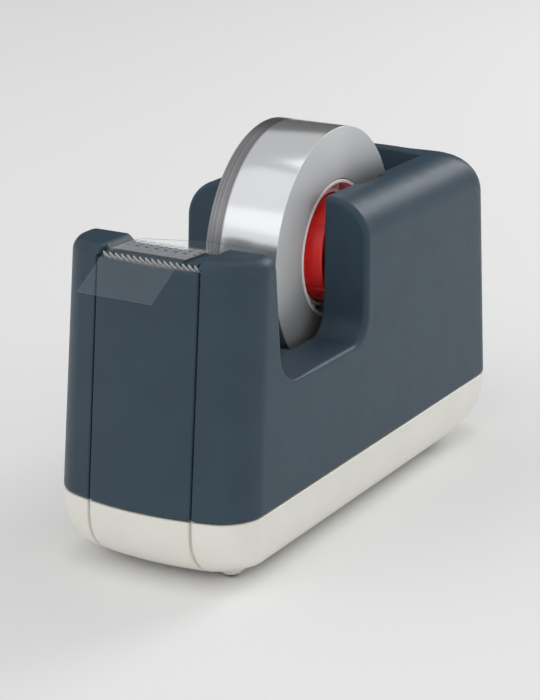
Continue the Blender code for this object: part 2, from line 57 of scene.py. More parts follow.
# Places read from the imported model.
LOW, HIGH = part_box("upper_shell")
BASE_LOW, BASE_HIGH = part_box("base_tray")
ROLL_LOW, ROLL_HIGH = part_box("tape_roll")
AXLE_LOW, AXLE_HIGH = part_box("axle_pin")
SEAM_Z = (LOW.z + BASE_HIGH.z) / 2
HALF = BASE_HIGH.x
FRONT_Y = BASE_LOW.y
REAR_Y = BASE_HIGH.y
HOUSING_TOP_Z = HIGH.z
ROLL_Y = (ROLL_LOW.y + ROLL_HIGH.y) / 2
ROLL_Z = (ROLL_LOW.z + ROLL_HIGH.z) / 2
ROLL_RADIUS = (ROLL_HIGH.y - ROLL_LOW.y) / 2
HALF_TAPE = ROLL_HIGH.x
AXLE_RADIUS = (AXLE_HIGH.y - AXLE_LOW.y) / 2
PLATFORM_LOW, PLATFORM_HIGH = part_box("tape_platform")
PLATFORM_Z = PLATFORM_HIGH.z
PANEL_TOP_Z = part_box("front_panel")[1].z
STRIP_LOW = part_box("tape_strip")[0]

# Shape of the housing, as in the CAD model.
FRONT_BOW = 0.0051
REAR_BOW = 0.0010
FRONT_CORNER = 0.0074
REAR_CORNER = 0.0060
SIDE_DRAFT = 0.016
FRONT_DRAFT = 0.0755
REAR_DRAFT = 0.092
SEAM_ROUND = 0.00045
TOP_CROWN = 0.0008
TOP_CROWN_HALF = 0.018

# The front tower: its two shoulders, and the notch between it and the rear block.
SHOULDER_Z = 0.0752
SHOULDER_START_X = 0.0108
SHOULDER_RUN = 0.0026
TOWER_BACK_Y = -0.0443
TOWER_ROOF_END_Y = -0.030
NOTCH_LEAN = 0.09
NOTCH_FLOOR_Z = 0.0445
NOTCH_FRONT_CORNER = 0.0075
NOTCH_REAR_CORNER = 0.0062
BLOCK_FRONT_Y = -0.0032

# The slot and well for the roll, and the guides for the ends of the axle.
SLOT_HALF = 0.0130
SLOT_REACH = 0.0398
SLOT_CORNER = 0.0012
WELL_RADIUS = 0.0335
GUIDE_DEPTH = 0.0018
GUIDE_LEAN = (0.0093, 0.0166)
GUIDE_CLEARANCE = 0.00025
GUIDE_FLARE = 0.0026
GUIDE_FLARE_RUN = 0.020

# The front panel, and the openings in the tower for the blade and the platform.
PANEL_SEAM_X = 0.0133
PANEL_SEAM_HALF = 0.00012
PANEL_NARROWING = 0.0036
PANEL_DEPTH = 0.0012
RELIEF_Y, RELIEF_Z = -0.0590, 0.0708
BAY_HALF, BAY_BACK_Y = 0.01265, -0.0573
SEAT_HALF = 0.0111
SLIT_HALF, SLIT_BACK_Y = 0.0127, -0.0512
SLIT_LOW_Z, SLIT_HIGH_Z = 0.0703, 0.0723

# The blade and the platform, with its rows of bumps that the film's material wets.
TIP_Y, TIP_Z = -0.0591, 0.0738
BEND_Y, BEND_Z = -0.0581, 0.0716
BUMP_X, BUMP_Y = -0.0098, -0.0526
BUMP_PITCH_X, BUMP_PITCH_Y = 0.00245, 0.0021
PLATFORM_FRONT_Y = -0.0570

# The base, its feet and its screw wells.
BASE_UPRIGHT = 0.0035
BASE_BOTTOM_Z = 0.0015
BASE_INSETS = (0.0074, 0.0130, 0.0260)
BASE_CORNER_GROWTH = (0.0022, 0.0066)
CHANNEL_HALF = 0.00030
CHANNEL_DEPTH = 0.0007
CHANNEL_END_Y = -0.0445
FOOT_BOSS_RADIUS = 0.0021
FOOT_BOSS_FLARE = 0.85
FOOT_BOSS_LOW_Z, FOOT_BOSS_MIDDLE_Z = 0.0006, 0.0033
FOOT_SEAT_RADIUS, FOOT_SEAT_Z = 0.0016, 0.0021
SCREW_WELL_RADIUS, SCREW_WELL_Z = 0.0033, 0.0060
SCREW_PLACES = [(x, y) for y in (-0.0360, 0.0460) for x in (-0.0150, 0.0150)]
FOOT_PLACES = [(x, y) for y in (-0.0505, 0.0370) for x in (-0.0158, 0.0158)]


# ---------------------------------------------------------------- solids from distance fields


def smooth(t):
    t = np.clip(t, 0.0, 1.0)
    return t * t * (3 - 2 * t)


def meet(a, b, radius):
    """What is inside both a and b, with the edge between them rounded."""
    u = a + radius
    v = b + radius
    return np.minimum(np.maximum(u, v), 0) + np.hypot(np.maximum(u, 0), np.maximum(v, 0)) - radius


def cut(a, void, radius):
    """a without the void, with the edge of the cut rounded."""
    return meet(a, -void, radius)


def join(a, b, radius):
    """a and b together, with the inner corner between them filled to a radius."""
    return -meet(-a, -b, radius)


def graded(low, high, zones, fine, coarse, growth=0.3):
    """Grid lines from low to high, close together in each (from, to) zone and wider between."""
    lines = [low]
    while lines[-1] < high:
        x = lines[-1]
        away = min(max(a - x, x - b, 0.0) for a, b in zones)
        lines.append(x + min(fine + growth * away, coarse))
    return np.array(lines)


def both_sides(*zones):
    """Zones along X for the right side, with the same ones mirrored for the left side."""
    return [(-b, -a) for a, b in reversed(zones)] + list(zones)


def slope_of(field, points, step=0.00004):
    """The field's gradient at each point."""
    slope = np.empty_like(points)
    for axis in range(3):
        shift = np.zeros(3)
        shift[axis] = step
        slope[:, axis] = (field(points + shift) - field(points - shift)) / (2 * step)
    return slope


def move_onto(field, points, rounds=4, flattest=0.05, longest=0.0006):
    """Moves the points along the field's slope to where the field is zero, in short steps."""
    for _ in range(rounds):
        slope = slope_of(field, points)
        steep = np.maximum((slope**2).sum(1), flattest)
        step = -(field(points) / steep)[:, None] * slope
        length = np.linalg.norm(step, axis=1)[:, None]
        points += step * np.minimum(1.0, longest / np.maximum(length, 1e-12))


def show(name, mesh):
    piece = bpy.data.objects.new(name, mesh)
    bpy.context.scene.collection.objects.link(piece)
    return piece


def solid(name, field, xs, ys, zs):
    """A mesh of where the field is negative.

    Each grid cell that the surface crosses gets one vertex, which is then moved onto the surface.
    The normals are the field's own slope.
    """
    grid = np.stack(np.meshgrid(xs, ys, zs, indexing="ij"), -1)
    value = field(grid)
    inside = value < 0
    cells = tuple(n - 1 for n in value.shape)
    total = np.zeros((*cells, 3))
    count = np.zeros(cells, int)
    quads = []
    for axis in range(3):
        others = [k for k in range(3) if k != axis]
        near = [slice(None)] * 3
        far = [slice(None)] * 3
        near[axis] = slice(None, -1)
        far[axis] = slice(1, None)
        near, far = tuple(near), tuple(far)
        a, b = value[near], value[far]
        where = np.argwhere((a < 0) != (b < 0))
        at = tuple(where.T)
        share = (a[at] / (a[at] - b[at]))[:, None]
        point = grid[near][at] * (1 - share) + grid[far][at] * share
        corners = []
        for first, second in ((1, 1), (0, 1), (0, 0), (1, 0)):
            cell = where.copy()
            cell[:, others[0]] -= first
            cell[:, others[1]] -= second
            corners.append(cell)
            np.add.at(total, tuple(cell.T), point)
            np.add.at(count, tuple(cell.T), 1)
        ring = np.stack(corners, 1)
        turned = inside[near][at] if axis != 1 else ~inside[near][at]
        ring[~turned] = ring[~turned][:, ::-1]
        quads.append(ring)
    used = count > 0
    number = np.full(cells, -1)
    number[used] = np.arange(used.sum())
    points = total[used] / count[used][:, None]
    ring = np.concatenate(quads)
    faces = number[ring[..., 0], ring[..., 1], ring[..., 2]]
    move_onto(field, points)
    mesh = bpy.data.meshes.new(name)
    mesh.from_pydata(points.tolist(), [], faces.tolist())
    mesh.update()
    mesh.shade_smooth()
    slope = slope_of(field, points)
    slope /= np.maximum(np.linalg.norm(slope, axis=1)[:, None], 1e-9)
    mesh.normals_split_custom_set_from_vertices(slope.tolist())
    return show(name, mesh)


# ---------------------------------------------------------------- fields of the housing and base


def split(p):
    return p[..., 0], p[..., 1], p[..., 2]


def faces_of_housing(p):
    """Signed distances to the side, front and rear faces."""
    x, y, z = split(p)
    rise = np.maximum(z - SEAM_Z, 0.0)
    bow = (x / HALF) ** 2
    side = np.abs(x) - (HALF - SIDE_DRAFT * rise)
    front = FRONT_Y + FRONT_DRAFT * rise + FRONT_BOW * bow - y
    rear = y - (REAR_Y - REAR_DRAFT * rise - REAR_BOW * bow)
    return side, front, rear


def notch(p):
    """The space between the front tower and the rear block."""
    y, z = p[..., 1], p[..., 2]
    floor = NOTCH_FLOOR_Z - z
    tower = TOWER_BACK_Y - NOTCH_LEAN * (z - NOTCH_FLOOR_Z) - y
    block = y - BLOCK_FRONT_Y
    return np.maximum(meet(tower, floor, NOTCH_FRONT_CORNER), meet(block, floor, NOTCH_REAR_CORNER))


def slot(p):
    """The slot that the roll stands in: a round well in front and a longer oval behind."""
    x, y, z = split(p)
    dy = y - ROLL_Y
    below = np.minimum(z - ROLL_Z, 0.0)
    front = np.hypot(dy, below) - WELL_RADIUS
    k = np.hypot(dy / SLOT_REACH, below / WELL_RADIUS)
    scale = np.hypot(dy / SLOT_REACH**2, below / WELL_RADIUS**2)
    rear = (k - 1) * k / np.maximum(scale, 1e-6)
    profile = np.where(dy < 0, front, rear)
    return meet(np.abs(x) - SLOT_HALF, profile, SLOT_CORNER)


def guide(p):
    """The open grooves in the slot's walls that the ends of the axle drop into."""
    x, y, z = split(p)
    length = sqrt(GUIDE_LEAN[0] ** 2 + GUIDE_LEAN[1] ** 2)
    a, b = GUIDE_LEAN[0] / length, GUIDE_LEAN[1] / length
    along = (y - ROLL_Y) * a + (z - ROLL_Z) * b
    across = np.abs((y - ROLL_Y) * b - (z - ROLL_Z) * a)
    flare = GUIDE_FLARE * smooth(along / GUIDE_FLARE_RUN) ** 2
    half = AXLE_RADIUS + GUIDE_CLEARANCE + flare
    groove = np.where(along > 0, across - half, np.hypot(along, across) - half)
    return meet(np.abs(x) - SLOT_HALF - GUIDE_DEPTH, groove, 0.0004)


def panel_half(z):
    return PANEL_SEAM_X - PANEL_NARROWING * (z - SEAM_Z)


def tower_roof(x):
    """Just under the platform's top in the middle, rising in an S to a shoulder on each side."""
    rise = smooth((np.abs(x) - SHOULDER_START_X) / SHOULDER_RUN)
    return PLATFORM_Z - 0.0002 + (SHOULDER_Z - PLATFORM_Z + 0.0001) * rise


def housing(p):
    """The housing without its seats and grooves, as a solid block."""
    x, y, z = split(p)
    side, front, rear = faces_of_housing(p)
    wall = meet(meet(side, front, FRONT_CORNER), rear, REAR_CORNER)
    back_roof = z - (HOUSING_TOP_Z - TOP_CROWN * (x / TOP_CROWN_HALF) ** 2)
    in_tower = y < TOWER_ROOF_END_Y
    roof = np.where(in_tower, z - tower_roof(x), back_roof)
    # The top edges are rounder on the tower's sides than on its front, and roundest at the rear.
    to_side = smooth((side - front) / 0.006 + 0.5)
    tower_edge = 0.0024 + 0.0010 * to_side * smooth((np.abs(x) - 0.014) / 0.004)
    to_side = smooth((side - rear) / 0.014 + 0.5)
    back_edge = 0.0150 - 0.0065 * to_side
    body = meet(wall, roof, np.where(in_tower, tower_edge, back_edge))
    # The notch's edge is crisp on the tower and softer on the block.
    notch_edge = 0.0006 + 0.0008 * smooth((y + 0.0420) / 0.0200)
    return cut(body, notch(p), notch_edge)


def shell(p):
    """The housing, with room for the roll, axle, panel, blade and platform."""
    x, y, z = split(p)
    away = np.abs(x)
    front = faces_of_housing(p)[1]
    body = cut(housing(p), slot(p), 0.0008)
    body = cut(body, guide(p), 0.0004)
    half = panel_half(z) + PANEL_SEAM_HALF
    recess = np.maximum(away - half, -(front + PANEL_DEPTH + GAP))
    recess = np.maximum(recess, z - PANEL_TOP_Z - 0.0004)
    body = cut(body, recess, 0.00050)
    under_plate = PLATFORM_LOW.z - GAP - z
    bay = np.maximum(away - BAY_HALF, np.maximum(y - BAY_BACK_Y, under_plate))
    body = cut(body, bay, 0.0003)
    seat = np.maximum(away - SEAT_HALF, np.maximum(y - PLATFORM_HIGH.y - GAP, under_plate))
    body = cut(body, seat, 0.0003)
    slit = np.maximum(SLIT_LOW_Z - z, z - SLIT_HIGH_Z)
    slit = np.maximum(slit, np.maximum(away - SLIT_HALF, y - SLIT_BACK_Y))
    body = cut(body, slit, 0.0001)
    return meet(body, SEAM_Z + GAP / 2 - z, SEAM_ROUND)


def panel(p):
    """The plate let into the front, relieved behind its top edge for the blade."""
    x, y, z = split(p)
    front = faces_of_housing(p)[1]
    half = panel_half(z) - PANEL_SEAM_HALF
    plate = meet(front, np.abs(x) - half, 0.00055)
    plate = meet(plate, -(front + PANEL_DEPTH), 0.0002)
    plate = meet(plate, z - PANEL_TOP_Z, 0.0004)
    plate = cut(plate, np.maximum(RELIEF_Y - y, RELIEF_Z - z), 0.0001)
    return meet(plate, SEAM_Z + GAP / 2 - z, SEAM_ROUND)


def base_share(x, y, lowest=-0.4, highest=1.4, halvings=20):
    """How far in the base's outline moves to pass through a point, as a share of its insets."""
    bow = (x / HALF) ** 2
    side = np.abs(x) - HALF
    front = FRONT_Y + FRONT_BOW * bow - y
    rear = y - (REAR_Y - REAR_BOW * bow)
    side_in, front_in, rear_in = BASE_INSETS
    front_growth, rear_growth = BASE_CORNER_GROWTH
    low = np.full(x.shape, lowest)
    high = np.full(x.shape, highest)
    for _ in range(halvings):
        mid = (low + high) / 2
        corner = FRONT_CORNER + front_growth * mid
        wall = meet(side + side_in * mid, front + front_in * mid, corner)
        wall = meet(wall, rear + rear_in * mid, REAR_CORNER + rear_growth * mid)
        within = wall < 0
        low = np.where(within, mid, low)
        high = np.where(within, high, mid)
    return (low + high) / 2


def base(p):
    """The base, which curves in towards the bottom, with feet, screw wells and two channels."""
    x, y, z = split(p)
    depth = SEAM_Z - BASE_UPRIGHT - BASE_BOTTOM_Z
    if p.ndim == 4:  # a whole grid, where the share is the same all the way up each column
        share = base_share(x[:, :, 0], y[:, :, 0])[:, :, None] + 0.0 * z
    else:
        share = base_share(x, y)
    drop = np.maximum(SEAM_Z - BASE_UPRIGHT - z, 0.0) / depth
    to_metres = 0.009
    body = (np.hypot(np.maximum(1 - share, 0.0), drop) - 1) * to_metres
    channel = np.abs(np.abs(x) - PANEL_SEAM_X) - CHANNEL_HALF
    channel = np.maximum(channel, np.maximum(-(body + CHANNEL_DEPTH), y - CHANNEL_END_Y))
    body = cut(body, channel, 0.00040)
    boss_half = FOOT_BOSS_MIDDLE_Z - FOOT_BOSS_LOW_Z
    for place_x, place_y in FOOT_PLACES:
        away = np.hypot(x - place_x, y - place_y)
        cone = away - FOOT_BOSS_RADIUS - FOOT_BOSS_FLARE * (z - FOOT_BOSS_LOW_Z)
        boss = meet(cone, np.abs(z - FOOT_BOSS_MIDDLE_Z) - boss_half, 0.0003)
        body = join(body, boss, 0.0005)
    for places, radius, top, edge in (
        (FOOT_PLACES, FOOT_SEAT_RADIUS, FOOT_SEAT_Z, 0.0001),
        (SCREW_PLACES, SCREW_WELL_RADIUS, SCREW_WELL_Z, 0.0004),
    ):
        for place_x, place_y in places:
            away = np.hypot(x - place_x, y - place_y)
            body = cut(body, np.maximum(away - radius, z - top), edge)
    return meet(body, z - SEAM_Z + GAP / 2, SEAM_ROUND)


def place(piece, body, material, slot_name, *nodes):
    """Gives a piece its material, its body and the CAD nodes that it replaces; slot_name is not
    used.
    """
    piece.data.materials.clear()
    piece.data.materials.append(material)
    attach(piece, body)
    if nodes:
        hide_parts(*nodes)
    return piece


# ---------------------------------------------------------------- turned, lofted and small pieces


def piece_from(name, bm, sharp=35):
    bmesh.ops.recalc_face_normals(bm, faces=bm.faces)
    mesh = bpy.data.meshes.new(name)
    bm.to_mesh(mesh)
    bm.free()
    mesh.shade_smooth()
    mesh.set_sharp_from_angle(angle=radians(sharp))
    return show(name, mesh)


def turned(name, profile, steps, sharp):
    """A closed profile of (x, radius) points turned about the roll's axis."""
    bm = bmesh.new()
    points = [bm.verts.new((x, ROLL_Y, ROLL_Z + radius)) for x, radius in profile]
    edges = [bm.edges.new((points[i - 1], points[i])) for i in range(len(points))]
    bmesh.ops.spin(
        bm,
        geom=points + edges,
        angle=2 * pi,
        steps=steps,
        axis=(1, 0, 0),
        cent=(0, ROLL_Y, ROLL_Z),
    )
    bmesh.ops.remove_doubles(bm, verts=bm.verts, dist=0.000002)
    return piece_from(name, bm, sharp)


def rounded(corners, radius, count=4, share=0.45):
    """A closed profile with its corners rounded, to a share of the shorter side at most."""
    out = []
    total = len(corners)
    for i in range(total):
        a, b, c = corners[i - 1], corners[i], corners[(i + 1) % total]
        here = Vector(b)
        back = Vector(a) - here
        ahead = Vector(c) - here
        reach = min(radius, back.length * share, ahead.length * share)
        if reach < 1e-6:
            out.append(tuple(here))
            continue
        start = here + back.normalized() * reach
        end = here + ahead.normalized() * reach
        for k in range(count + 1):
            t = k / count
            out.append(tuple(start * (1 - t) ** 2 + here * 2 * t * (1 - t) + end * t**2))
    return out


def skin(bm, rings, ends_meet=False):
    """Faces from each closed ring of points to the next, and back to the first if ends_meet."""
    loops = [[bm.verts.new(point) for point in ring] for ring in rings]
    nexts = loops[1:] + loops[:1] if ends_meet else loops[1:]
    for lower, upper in zip(loops, nexts):
        for i in range(len(lower)):
            j = (i + 1) % len(lower)
            bm.faces.new((lower[i], lower[j], upper[j], upper[i]))
    return loops


def band(name, rings, sharp=35):
    """A solid skinned over rings of points, with a face over each end."""
    bm = bmesh.new()
    loops = skin(bm, rings)
    bm.faces.new(loops[0])
    bm.faces.new(loops[-1])
    return piece_from(name, bm, sharp)


# ---------------------------------------------------------------- materials

# Sockets of the Mix node that carry colours.
MIX_FIRST, MIX_SECOND, MIX_RESULT = 6, 7, 2


class Look:
    """A material built from nodes, with short names for the nodes that every surface here uses."""

    def __init__(self, name):
        self.material = bpy.data.materials.new(name)
        self.material.use_nodes = True
        self.tree = self.material.node_tree
        self.shader = self.tree.nodes["Principled BSDF"]
        self.where = self.tree.nodes.new("ShaderNodeTexCoord").outputs["Object"]

    def node(self, kind, **settings):
        made = self.tree.nodes.new(kind)
        for key, value in settings.items():
            setattr(made, key, value)
        return made

    def link(self, source, target):
        self.tree.links.new(source, target)

    def set(self, **values):
        for key, value in values.items():
            self.shader.inputs[key.replace("_", " ")].default_value = value

    def noise(self, scale, detail=2.0, rough=0.5, where=None):
        made = self.node("ShaderNodeTexNoise")
        made.inputs["Scale"].default_value = scale
        made.inputs["Detail"].default_value = detail
        made.inputs["Roughness"].default_value = rough
        self.link(where or self.where, made.inputs["Vector"])
        return made.outputs["Fac"]

    def spread(self, source, low, high, new_low=0.0, new_high=1.0):
        """The source's range from low to high, turned into one from new_low to new_high."""
        made = self.node("ShaderNodeMapRange")
        made.inputs["From Min"].default_value = low
        made.inputs["From Max"].default_value = high
        made.inputs["To Min"].default_value = new_low
        made.inputs["To Max"].default_value = new_high
        self.link(source, made.inputs["Value"])
        return made.outputs["Result"]

    def blend(self, share, first, second):
        """A colour between two others, each a tuple or another node's output."""
        made = self.node("ShaderNodeMix", data_type="RGBA")
        self.link(share, made.inputs["Factor"])
        for number, value in ((MIX_FIRST, first), (MIX_SECOND, second)):
            if isinstance(value, tuple):
                made.inputs[number].default_value = (*value, 1.0)
            else:
                self.link(value, made.inputs[number])
        return made.outputs[MIX_RESULT]

    def sums(self, operation, first, second=None):
        """One Math node, whose inputs are numbers or other nodes' outputs."""
        made = self.node("ShaderNodeMath", operation=operation)
        for socket, value in zip(made.inputs, (first, second)):
            if value is None:
                continue
            if isinstance(value, (int, float)):
                socket.default_value = value
            else:
                self.link(value, socket)
        return made.outputs[0]

    def parts(self):
        made = self.node("ShaderNodeSeparateXYZ")
        self.link(self.where, made.inputs[0])
        return made.outputs

    def colour(self, source):
        self.link(source, self.shader.inputs["Base Color"])

    def roughness(self, source):
        self.link(source, self.shader.inputs["Roughness"])

    def bump(self, height, strength, distance):
        made = self.node("ShaderNodeBump")
        made.inputs["Strength"].default_value = strength
        made.inputs["Distance"].default_value = distance
        self.link(height, made.inputs["Height"])
        self.link(made.outputs[0], self.shader.inputs["Normal"])


def scaled(colour, share):
    return tuple(min(c * share, 1.0) for c in colour)


def moulded(
    name, colour, roughness, grain=2600.0, depth=0.00002, coat=0.0, tint=0.10, shine=0.5, vary=0.03
):
    """Moulded plastic: a fine grain, slight clouds of colour and a little uneven gloss."""
    look = Look(name)
    clouds = look.spread(look.noise(90.0, detail=4.0, rough=0.6), 0.35, 0.65)
    look.colour(look.blend(clouds, scaled(colour, 1 - tint), scaled(colour, 1 + tint)))
    fine = look.noise(grain, detail=2.0, rough=0.6)
    uneven = look.noise(400.0, detail=3.0)
    look.roughness(look.spread(uneven, 0.3, 0.7, roughness - vary, roughness + vary))
    look.bump(fine, strength=0.35, distance=depth)
    look.set(Specular_IOR_Level=shine, Coat_Weight=coat, Coat_Roughness=0.25)
    return look.material


def brushed(name, colour, roughness, stretch=(20.0, 900.0, 900.0), metal=1.0):
    """Metal with fine lines along the direction in which its noise is stretched."""
    look = Look(name)
    mapping = look.node("ShaderNodeMapping")
    mapping.inputs["Scale"].default_value = stretch
    look.link(look.where, mapping.inputs["Vector"])
    lines = look.noise(4.0, detail=5.0, rough=0.7, where=mapping.outputs[0])
    look.colour(look.blend(lines, scaled(colour, 0.82), colour))
    look.roughness(look.spread(lines, 0.3, 0.7, roughness * 0.7, roughness * 1.3))
    look.bump(lines, strength=0.2, distance=0.00002)
    look.set(Metallic=metal)
    return look.material


def cast_iron():
    look = Look("cast_iron_block")
    rough = look.noise(500.0, detail=6.0, rough=0.7)
    look.colour(look.blend(rough, (0.03, 0.03, 0.032), (0.11, 0.105, 0.10)))
    look.bump(rough, strength=0.6, distance=0.0002)
    look.set(Metallic=0.7, Roughness=0.65)
    return look.material


def length_of(look, *parts):
    """The square root of the sum of the parts' squares, in nodes."""
    squares = [look.sums("POWER", look.sums("ABSOLUTE", part), 2.0) for part in parts]
    return look.sums("SQRT", look.sums("ADD", *squares))


def streaks(look, source, scale, detail=5.0):
    """Noise along one number, such as a radius."""
    made = look.node("ShaderNodeTexNoise", noise_dimensions="1D")
    made.inputs["Scale"].default_value = 1.0
    made.inputs["Detail"].default_value = detail
    made.inputs["Roughness"].default_value = 0.65
    look.link(look.sums("MULTIPLY", source, scale), made.inputs["W"])
    return made.outputs["Fac"]


def wound_outside():
    """The roll's outer turn: glossy film, greyer along its left edge as painted shade where the
    lights' reflection misses it, and streaked there.
    """
    look = Look("wound_film_outside")
    x = look.parts()[0]
    # The grey of the left band is painted shade, standing in for the strip that the lights'
    # reflection misses; the fine streaks in it are the film's own lines.
    edge = look.spread(x, -0.0058, -0.0053, 1.0, 0.0)
    fine = streaks(look, x, 2600.0)
    band = look.blend(look.spread(fine, 0.3, 0.7), (0.15, 0.15, 0.16), (0.34, 0.34, 0.35))
    clear = look.blend(look.noise(60.0, detail=3.0), (0.68, 0.69, 0.70), (0.76, 0.77, 0.78))
    look.colour(look.blend(edge, clear, band))
    look.roughness(look.spread(edge, 0.0, 1.0, 0.17, 0.32))
    look.bump(fine, strength=0.10, distance=0.00004)
    look.set(Metallic=0.75)
    return look.material


def wound_face():
    """The roll's flat side: the edges of many turns, which catch light in a fan."""
    look = Look("wound_film_side")
    y, z = look.parts()[1:]
    radius = length_of(
        look,
        look.sums("SUBTRACT", y, ROLL_Y),
        look.sums("SUBTRACT", z, ROLL_Z),
    )
    rings = streaks(look, radius, 5200.0)
    look.colour(look.blend(look.spread(rings, 0.3, 0.7), (0.55, 0.56, 0.57), (0.68, 0.69, 0.70)))
    look.bump(rings, strength=0.25, distance=0.00006)
    tangent = look.node("ShaderNodeTangent", direction_type="RADIAL", axis="X")
    look.link(tangent.outputs[0], look.shader.inputs["Tangent"])
    look.set(Metallic=0.6, Roughness=0.55, Anisotropic=0.6, Anisotropic_Rotation=0.25)
    return look.material


def from_nearest(look, source, start, pitch):
    """The signed distance along one axis from the nearest of many evenly spaced places."""
    places = 20  # keeps the number below positive, so that its fraction counts upwards
    steps = look.sums("DIVIDE", look.sums("SUBTRACT", source, start), pitch)
    cell = look.sums("FRACT", look.sums("ADD", steps, places + 0.5))
    return look.sums("MULTIPLY", look.sums("SUBTRACT", cell, 0.5), pitch)


def clear_film(name, colour, alpha, stuck_alpha=0.40, spot_share=0.05):
    """Clear film: hazy where it sticks to the platform, apart from clear spots over the bumps."""
    look = Look(name)
    x, y = look.parts()[:2]
    clouds = look.noise(300.0, detail=3.0, rough=0.5)
    look.colour(look.blend(clouds, scaled(colour, 0.92), colour))
    look.roughness(look.spread(clouds, 0.3, 0.7, 0.14, 0.26))
    look.bump(look.noise(60.0, detail=1.0), strength=0.05, distance=0.0001)
    front, rear, fade = PLATFORM_FRONT_Y, PLATFORM_HIGH.y, 0.0004
    on_plate = look.sums(
        "MULTIPLY",
        look.spread(y, front - fade, front + 0.0002),
        look.spread(y, rear - fade, rear + fade, 1.0, 0.0),
    )
    from_bump = length_of(
        look,
        from_nearest(look, x, BUMP_X, BUMP_PITCH_X),
        from_nearest(look, y, BUMP_Y, BUMP_PITCH_Y),
    )
    spot = look.spread(from_bump, 0.00038, 0.00062)
    in_rows = look.spread(y, BUMP_Y - 0.0012, BUMP_Y - 0.0010)
    spot = look.sums("MAXIMUM", spot, look.sums("SUBTRACT", 1.0, in_rows))
    stuck = look.sums("MULTIPLY", on_plate, look.spread(spot, 0.0, 1.0, spot_share, 1.0))
    look.link(look.spread(stuck, 0.0, 1.0, alpha, stuck_alpha), look.shader.inputs["Alpha"])
    look.set(Specular_IOR_Level=0.6)
    return look.material


# ---------------------------------------------------------------- the pieces

SHELL_LOOK = moulded(
    "soft_touch_blue_grey",
    (0.036, 0.063, 0.087),
    roughness=0.42,
    grain=3000.0,
    depth=0.00003,
    tint=0.05,
    shine=0.22,
)
BASE_LOOK = moulded(
    "off_white_plastic",
    (0.80, 0.785, 0.725),
    roughness=0.36,
    grain=2600.0,
    depth=0.000012,
    coat=0.15,
    tint=0.02,
)
STEEL_LOOK = brushed("ground_steel", (0.95, 0.95, 0.95), roughness=0.30, metal=0.2)
AXLE_LOOK = brushed(
    "turned_steel", (0.58, 0.58, 0.60), roughness=0.28, stretch=(900.0, 60.0, 60.0)
)
SCREW_LOOK = brushed(
    "plated_steel", (0.60, 0.60, 0.57), roughness=0.30, stretch=(300.0, 300.0, 300.0)
)
RED_LOOK = moulded(
    "satin_red",
    (0.80, 0.016, 0.011),
    roughness=0.30,
    grain=1800.0,
    depth=0.00001,
    coat=0.3,
    tint=0.08,
)
CORE_LOOK = moulded("pale_core", (0.92, 0.88, 0.88), roughness=0.40, grain=1500.0, tint=0.05)
BLACK_LOOK = moulded("black_cover", (0.02, 0.02, 0.022), roughness=0.50)
RUBBER_LOOK = moulded(
    "foot_rubber", (0.018, 0.018, 0.019), roughness=0.75, grain=1600.0, depth=0.00006, tint=0.2
)
IRON_LOOK = cast_iron()
OUTSIDE_LOOK = wound_outside()
SIDE_LOOK = wound_face()
FILM_LOOK = clear_film("clear_film", (0.62, 0.64, 0.66), alpha=0.04)
FILM_EDGE_LOOK = clear_film("clear_film_edge", (0.20, 0.22, 0.24), alpha=0.45)


def build_shell():
    x_zones = both_sides((0.0108, 0.0152), (0.0235, 0.0260))
    xs = graded(-0.0262, 0.0262, x_zones, fine=0.00028, coarse=0.0016)
    y_zones = [
        (-0.0668, -0.0575),  # the panel and the openings
        (-0.0480, -0.0432),  # the tower's back edge
        (-0.0050, -0.0015),  # the block's front edge
        (0.0475, 0.0505),  # the rear of the slot
        (0.0690, 0.0720),  # the rear face
    ]
    ys = graded(-0.0672, 0.0722, y_zones, fine=0.00042, coarse=0.0016)
    # The seam, the notch's floor, and the tower's shoulders.
    z_zones = [(0.0165, 0.0180), (0.0435, 0.0460), (0.0700, 0.0790)]
    zs = graded(SEAM_Z - 0.0004, HOUSING_TOP_Z + 0.0010, z_zones, fine=0.00030, coarse=0.0016)
    made = solid("housing_shell", shell, xs, ys, zs)
    return place(made, "housing", SHELL_LOOK, "shell", "upper_shell")


def build_panel():
    back_y = -0.0570
    xs = graded(-0.0140, 0.0140, both_sides((0.0120, 0.0137)), fine=0.00020, coarse=0.0012)
    ys = graded(FRONT_Y - 0.0004, back_y, [(FRONT_Y, back_y)], fine=0.00035, coarse=0.0008)
    z_zones = [(0.0165, 0.0180), (0.0705, 0.0728)]
    zs = graded(SEAM_Z - 0.0004, PANEL_TOP_Z + 0.0006, z_zones, fine=0.00022, coarse=0.0012)
    made = solid("front_insert", panel, xs, ys, zs)
    return place(made, "housing", SHELL_LOOK, "shell", "front_panel")


def build_base():
    x_zones = both_sides((0.0128, 0.0140), (0.0240, 0.0258))
    xs = graded(-0.0262, 0.0262, x_zones, fine=0.00020, coarse=0.0010)
    y_zones = [(-0.0668, -0.0440), (0.0690, 0.0720)]
    ys = graded(FRONT_Y - 0.0006, REAR_Y + 0.0008, y_zones, fine=0.00045, coarse=0.0012)
    z_zones = [(0.0003, 0.0035), (0.0160, 0.0174)]
    zs = graded(0.0, SEAM_Z + 0.0004, z_zones, fine=0.00028, coarse=0.0010)
    made = solid("base_body", base, xs, ys, zs)
    return place(made, "housing", BASE_LOOK, "base", "base_tray")


